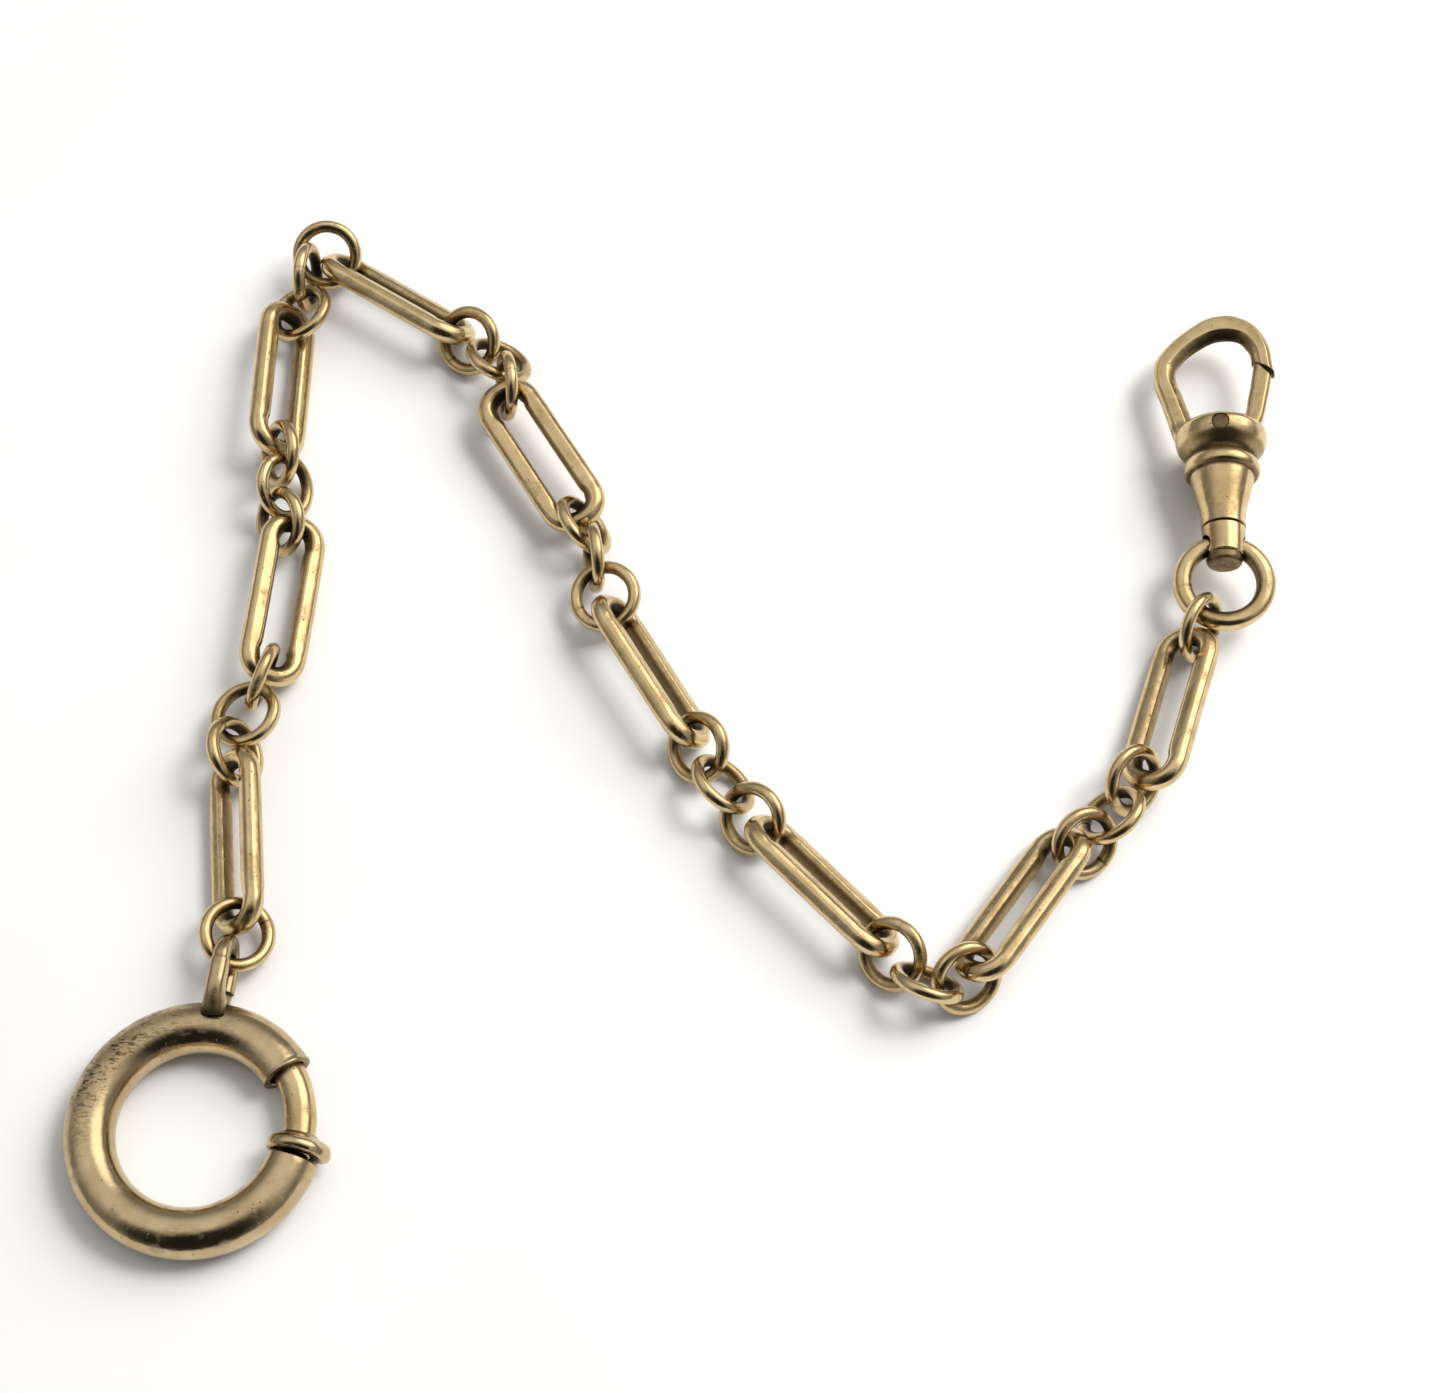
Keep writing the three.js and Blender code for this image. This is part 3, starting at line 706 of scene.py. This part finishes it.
def cut(me, tools):
    """The mesh with the tools' volumes taken away. The tools are deleted."""
    base = put("cut_base", me)
    for tool in tools:
        m = base.modifiers.new("cut", "BOOLEAN")
        m.operation = "DIFFERENCE"
        m.solver = "MANIFOLD"
        m.object = tool
    bpy.context.view_layer.update()
    dg = bpy.context.evaluated_depsgraph_get()
    made = bpy.data.meshes.new_from_object(base.evaluated_get(dg))
    made.materials.clear()
    for o in [base, *tools]:
        data = o.data
        bpy.data.objects.remove(o)
        bpy.data.meshes.remove(data)
    return made


def torus(place, radius, wire, steps, sides):
    s, phi = circle(steps), circle(sides)
    section = np.tile(section_of(wire, phi), (steps, 1, 1))
    return skin(place.out(sweep(level(s) * radius, level(s), upright(steps), section)), True)


EYE_CLEAR = 0.01  # the eye's feet follow the tube's outside, this far from it
tube_room = put("tube_room", torus(bolt, BOLT_R, TUBE_R + EYE_CLEAR, steps=120, sides=TUBE_SIDES))
finish_piece("ring_eye", cut(eye(), [tube_room]), ROSE, creases=50)


# ---------------------------------------------------------------- the swivel
def swivel_place(z):
    """The swivel's axes: x from the end of the stud to the hook, with z as its upright direction."""
    x = unit(np.array(joints["swivel_turn"]["axis"], float))
    z = unit(z - x * (z @ x))
    end = np.array(joints["swivel_turn"]["pos_m"]) - x * CROSS_HOLE * MM
    return Place(end, x, np.cross(z, x), z)


stud_place = swivel_place(np.array([0, 0, 1.0]))
swivel = swivel_place(np.array(joints["gate_turn"]["axis"], float))  # the body is turned on its stud


def turned(place, profile, sides):
    """A lathe round the swivel's own axis, from (radius, along) pairs."""
    p = np.array(profile, float)
    phi = circle(sides)[None]
    r, along = p[:, :1], np.tile(p[:, 1:2], (1, sides))
    return skin(place.out(np.stack([along, r * np.cos(phi), r * np.sin(phi)], -1)), False)


def soft_point(p0, p1, p2, p3, s):
    """The point a share s of the way from p1 to p2 on a Catmull-Rom curve."""
    bend = (2 * p0 - 5 * p1 + 4 * p2 - p3) * s**2 + (3 * p1 - p0 - 3 * p2 + p3) * s**3
    return 0.5 * (2 * p1 + (p2 - p0) * s + bend)


def smooth_profile(points, steps):
    """Points joined by soft curves, with sharp corners kept where a point is given twice."""
    runs, run = [], [points[0]]
    for p in points[1:]:
        if p == run[-1]:
            runs.append(run)
            run = [p]
        else:
            run.append(p)
    runs.append(run)
    out = []
    for r in runs:
        r = np.array(r, float)
        if len(r) < 3:
            out.extend(r.tolist())
            continue
        longer = np.vstack([2 * r[0] - r[1], r, 2 * r[-1] - r[-2]])
        for i in range(1, len(longer) - 2):
            out.extend(soft_point(*longer[i - 1 : i + 3], k / steps).tolist() for k in range(steps))
        out.append(r[-1].tolist())
    clean = [out[0]]
    for p in out[1:]:
        if abs(p[0] - clean[-1][0]) + abs(p[1] - clean[-1][1]) > 1e-4:
            clean.append(p)
    return clean


# (radius, along) pairs from the stud's free end, down its neck, to its head inside the body
STUD_PROFILE = [
    (0.02, -0.02), (0.7, -0.02), (1.15, 0.03), (1.36, 0.14), (1.45, 0.34), (1.45, 0.34), (1.46, 0.72),
    (1.46, 0.72), (1.52, 0.78), (1.52, 0.78), (1.60, 0.80), (1.65, 0.86), (1.665, 1.0), (1.69, 1.9),
    (1.74, 2.9), (1.75, 3.2), (1.73, 3.27), (1.68, 3.3), (1.68, 3.3), (0.85, 3.3), (0.85, 3.3),
    (0.85, 7.5), (0.85, 7.5), (1.6, 7.5), (1.6, 7.5), (1.6, 8.3), (1.6, 8.3), (0.02, 8.3),
]
# the same for the body: its bore, then the cone, the bead and the dome
BODY_PROFILE = [
    (0.02, 8.6), (1.9, 8.6), (1.9, 8.6), (1.9, 7.2), (1.9, 7.2), (1.05, 7.2), (1.05, 7.2), (1.05, 3.44),
    (1.05, 3.44), (1.70, 3.44), (1.70, 3.44), (1.78, 3.48), (1.8, 3.56), (1.81, 4.2), (1.9, 5.0),
    (2.07, 5.8), (2.27, 6.6), (2.47, 7.4), (2.6, 8.0), (2.63, 8.2), (2.63, 8.2), (2.9, 8.3), (3.07, 8.52),
    (3.12, 8.85), (3.06, 9.18), (2.9, 9.5), (2.72, 9.75), (2.67, 9.93), (2.67, 9.93), (2.74, 10.08),
    (2.92, 10.24), (3.2, 10.48), (3.52, 10.86), (3.7, 11.3), (3.76, 11.75), (3.71, 12.12), (3.52, 12.42),
    (3.2, 12.64), (2.7, 12.8), (1.7, 12.91), (0.6, 12.95), (0.02, 12.95),
]

stud = turned(stud_place, smooth_profile(STUD_PROFILE, steps=5), sides=72)
rooms = []
for swing in RING_SWINGS:
    t = math.radians(swing + RING_REST)
    x, z = np.array([math.cos(t), 0, -math.sin(t)]), np.array([math.sin(t), 0, math.cos(t)])
    middle = stud_place.out(np.array([CROSS_HOLE, 0, 0]) - SWIVEL_RING_R * x)
    room = Place(middle, *(axis @ stud_place.axes for axis in (x, np.array([0, 1.0, 0]), z)))
    rooms.append(put("room", torus(room, SWIVEL_RING_R, SWIVEL_WIRE_R + RING_ROOM, steps=48, sides=20)))
stud = cut(stud, rooms)
along, across, up = stud_place.back(coords_of(stud)).T
r = np.hypot(across, up)
mouth = near(up, 0.9) * near(along - CROSS_HOLE, 1.3)  # beside the cross hole
# the end face is darker; painted shade beside the cross hole, where the ring passes, and on the walls inside it; a
# dark band where the neck meets its head
grime_and_shade = np.where(along < STUD_STEP, 0.62, 0.04) + 0.75 * mouth
grime_and_shade += 0.9 * (r < 1.3) * (along > 0.3) + 0.5 * near(along - STUD_END, 0.05)
shade(stud, "grime_and_shade", grime_and_shade)
shade(stud, "wear", 0.5 * near(along - STUD_TOP, 0.12))
finish_piece("swivel_stud", stud, GOLD, creases=32)


def box_mesh(place, low, high):
    bm = bmesh.new()
    bmesh.ops.create_cube(bm, size=1.0)
    for v in bm.verts:
        v.co = Vector(place.out([(lo + hi) / 2 + c * (hi - lo) for c, lo, hi in zip(v.co, low, high)]))
    me = bpy.data.meshes.new("box")
    bm.to_mesh(me)
    bm.free()
    facing_out(me)
    return me


def pin_mesh(ends):
    """A round bar through the dome at the rivet: ends lists (radius, height) from bottom to top."""
    p = np.array(ends, float)
    phi = circle(PIN_SIDES)[None]
    r, high = p[:, :1], np.tile(p[:, 1:2], (1, PIN_SIDES))
    return skin(swivel.out(np.stack([PIN_AT + r * np.cos(phi), r * np.sin(phi), high], -1)), False)


# opposite corners of the slot's parts: through the dome's middle, wider further out, then the room for
# the hook's foot, and the slot's mouth on the gate's side
SLOT_BOXES = (
    ((10.35, -1.7, -1.0), (15, 1.7, 1.0)), ((11.0, -2.9, -0.99), (15, 2.9, 0.99)),
    ((11.95, 2.0, -0.97), (15, 4.6, 0.97)), ((12.3, -3.4, -0.98), (15, -2.0, 0.98)),
)
slots = [put("slot", box_mesh(swivel, low, high)) for low, high in SLOT_BOXES]
pin_room = put("pin_room", pin_mesh([(PIN_ROOM, -5), (PIN_ROOM, 5)]))
body = turned(swivel, smooth_profile(BODY_PROFILE, steps=6), sides=128)
body = cut(body, [*slots, pin_room])
along, across, up = swivel.back(coords_of(body)).T
r = np.hypot(across, up)
rivet_rim = near(np.hypot(along - PIN_AT, across) - 0.78, 0.14) * (np.abs(up) > 1.5)
in_slot = (np.abs(up) < SLOT_HALF) * (along > SLOT_FROM) * (r < SLOT_DARK_R)
in_bore = (r < 1.65) * (along < 9)
# painted shade with tarnish at the cone's edge, round the rivet, in the slot and inside the bore
grime_and_shade = 0.45 * near(along - CONE_EDGE, 0.05) + 0.3 * rivet_rim + 0.7 * in_slot + 0.9 * in_bore
# bands of painted shade round the bead and in its grooves, and a painted dark reflection on the dome's back
# (DOME_BACK)
for at, wide, dark in (
    (BEAD_BACK, 0.2, 0.75), (BEAD_SIDE, 0.22, 0.4), (BEAD_FRONT, 0.34, 0.85), (DOME_BACK, 0.3, 0.5),
):
    grime_and_shade += dark * near(along - at, wide)
shade(body, "grime_and_shade", grime_and_shade)
shade(body, "wear", 0.8 * near(along - DOME_TOP, 0.8) + 0.8 * near(along - BEAD_TOP, 0.3))
finish_piece("swivel_body", body, GOLD, creases=32)

rivet = pin_mesh([
    (0.1, -3.66), (0.4, -3.65), (0.6, -3.61), (0.7, -3.5),
    (0.7, 3.5), (0.64, 3.62), (0.45, 3.67), (0.1, 3.69),
])
shade(rivet, "grime_and_shade", np.full(len(rivet.vertices), 0.3))
finish_piece("gate_pin", rivet, DARK, creases=40)


def spline(points, count):
    """A smooth line through points with any number of values, by cubic curves on the chord length."""
    p = np.array(points, float)
    d = np.r_[0, np.cumsum(np.linalg.norm(np.diff(p[:, :2], axis=0), axis=1))]
    slope = np.gradient(p, d, axis=0)
    out = []
    for s in np.linspace(0, d[-1], count):
        i = min(np.searchsorted(d, s, "right") - 1, len(p) - 2)
        h = d[i + 1] - d[i]
        u = (s - d[i]) / h
        ends = (2 * u**3 - 3 * u**2 + 1) * p[i] + (3 * u**2 - 2 * u**3) * p[i + 1]
        out.append(ends + h * ((u**3 - 2 * u**2 + u) * slope[i] + (u**3 - u**2) * slope[i + 1]))
    return np.array(out)


def plate(line, cut_in, cut_out, radius, slant, count, side, dark):
    """A flat chamfered bar through (across to the right, along, half width) points.

    slant tips its last face: how far each edge runs on, per mm from the middle.
    dark says how much darker it is besides, from the points of its line: painted shade where it goes into the
    slot."""
    path = spline(line, count)
    tangent = np.gradient(path[:, :2], axis=0)
    tangent /= np.linalg.norm(tangent, axis=1)[:, None]
    outward = np.stack([-tangent[:, 1], tangent[:, 0]], 1) * side
    made = [octagon(half, PLATE_HALF, cut_in, cut_out, radius, 0.03) for half in path[:, 2]]
    sections, corner = np.array([s for s, _ in made]), made[0][1]
    flat = path[:, None, :2] + outward[:, None, :] * sections[..., 0:1]
    reach = np.linspace(0, 1, count)[:, None]
    tip = share_of((reach - 0.8) / 0.2) ** 1.5 * slant
    flat = flat + tangent[:, None, :] * (sections[..., 0] * tip)[..., None]
    grid = np.stack([flat[..., 1], -flat[..., 0], sections[..., 1]], -1)
    inside = share_of(-sections[..., 0])
    top = share_of((path[:, 1:2] - 19.5) / 2)  # towards the hook's crown
    # painted shade with tarnish on the inner side, deepest towards the hook's crown, and painted shade on the last
    # face, where hook and gate meet
    grime_and_shade = (0.55 + 0.6 * top) * inside + 0.9 * near(reach - 1, 0.006) + dark(path)[:, None]
    return skin(swivel.out(grid), False, {"grime_and_shade": grime_and_shade, "wear": corner[None]})


HOOK_LINE = [
    (-2.8, 11.98, 0.95), (-3.2, 13.4, 0.95), (-3.9, 15.8, 0.92), (-4.5, 18.0, 0.9), (-4.45, 19.0, 0.9),
    (-3.7, 20.25, 0.92), (-2.05, 21.75, 0.98), (-0.4, 22.65, 1.1), (0.9, 22.72, 1.1), (2.3, 22.1, 0.95),
    (3.2, 20.7, 0.85), (3.62, 18.5, 0.8),
]
GATE_LINE = [
    (-0.2, 11.5, 0.95), (1.5, 12.05, 0.9), (2.5, 13.2, 0.78), (3.12, 15.6, 0.78), (3.58, 18.22, 0.8),
]
SLANT = 0.87  # the hook's last face and the gate's meet at this slope

# both plates get painted shade where they leave the dome's slot
hook = plate(
    HOOK_LINE, cut_in=0.66, cut_out=0.34, radius=0.12, slant=SLANT, count=110, side=1,
    dark=lambda p: 0.6 * near(p[:, 1] - PLATE_FROM, 0.45) * (p[:, 0] < 0),
)
finish_piece("hook", hook, GOLD, creases=42)
gate = plate(
    GATE_LINE, cut_in=0.4, cut_out=0.26, radius=0.1, slant=-SLANT, count=70, side=-1,
    dark=lambda p: 0.8 * near(p[:, 1] - PLATE_FROM, 0.3),
)
eyelet = put("eyelet", pin_mesh([(EYELET_R, -4), (EYELET_R, 4)]))
finish_piece("gate", cut(gate, [eyelet]), GOLD, creases=42)

for node in ("spring_stop", "tongue_spring", "gate_spring"):
    materials = frame["nodes"][node].data.materials
    materials.clear()
    materials.append(STEEL)

# ---------------------------------------------------------------- table, light and camera
TABLE_HALF, TABLE_DROP = 1.5, 0.00002  # the table lies just below the pieces that rest on it
SKY_LOW, SKY_HIGH = (0.36, 0.365, 0.375), (1.12, 1.12, 1.1)
# parts of the studio that the metal mirrors: direction, outer and inner half angle in degrees, colour
STUDIO_PATCHES = (
    ((-0.08, -0.80, 0.60), 54, 26, (0.03, 0.028, 0.027)),
    ((0.61, 0.41, 0.68), 31, 13, (3.0, 2.9, 2.7)),
)
SENSOR, FOCAL_SHARE = 36, 1.716263  # mm, and the focal length as a share of it
CAMERA_AT, CAMERA_TILT = (0.001192, -0.083294, 0.181338), 25

top = bpy.data.meshes.new("table")
bm = bmesh.new()
bmesh.ops.create_grid(bm, x_segments=2, y_segments=2, size=TABLE_HALF)
bm.to_mesh(top)
bm.free()
top.materials.append(table_top())
table = put("table", top)
table.location = (0, 0, -TABLE_DROP)


def area_light(name, where, size, power, colour):
    """A round lamp aimed at the middle of the table, which the metal doesn't mirror."""
    data = bpy.data.lights.new(name, "AREA")
    data.shape = "DISK"
    data.size = size
    data.energy = power
    data.color = colour
    o = put(name, data)
    o.location = where
    o.rotation_euler = (-Vector(where)).to_track_quat("-Z", "Y").to_euler()
    o.visible_glossy = False


area_light("window", (0.36, 0.24, 0.40), size=0.5, power=2.1, colour=(1.0, 0.985, 0.955))
area_light("key", (0.28, 0.10, 0.46), size=0.2, power=1.0, colour=(1.0, 0.99, 0.97))

world = bpy.data.worlds.new("studio")
bpy.context.scene.world = world
world.use_nodes = True
t = world.node_tree
ray = t.nodes.new("ShaderNodeTexCoord").outputs["Generated"]
rise = t.nodes.new("ShaderNodeSeparateXYZ")
link(t, ray, rise.inputs[0])
sky = blend(t, span(t, rise.outputs["Z"], 0.3, 0.97), SKY_LOW, SKY_HIGH)
for direction, wide, narrow, colour in STUDIO_PATCHES:
    dot = t.nodes.new("ShaderNodeVectorMath")
    dot.operation = "DOT_PRODUCT"
    link(t, ray, dot.inputs[0])
    dot.inputs[1].default_value = Vector(direction).normalized()
    edge = [math.cos(math.radians(a)) for a in (wide, narrow)]
    sky = blend(t, span(t, dot.outputs["Value"], *edge), sky, colour)
background = t.nodes["Background"]
link(t, sky, background.inputs["Color"])
background.inputs["Strength"].default_value = 0.8

camera = bpy.data.cameras.new("camera")
camera.sensor_width = SENSOR
camera.lens = FOCAL_SHARE * SENSOR
camera.clip_start = 0.005
eye_point = put("camera", camera)
eye_point.location = CAMERA_AT
eye_point.rotation_euler = (math.radians(CAMERA_TILT), 0, 0)
bpy.context.scene.camera = eye_point
bpy.context.scene.view_settings.view_transform = "Standard"
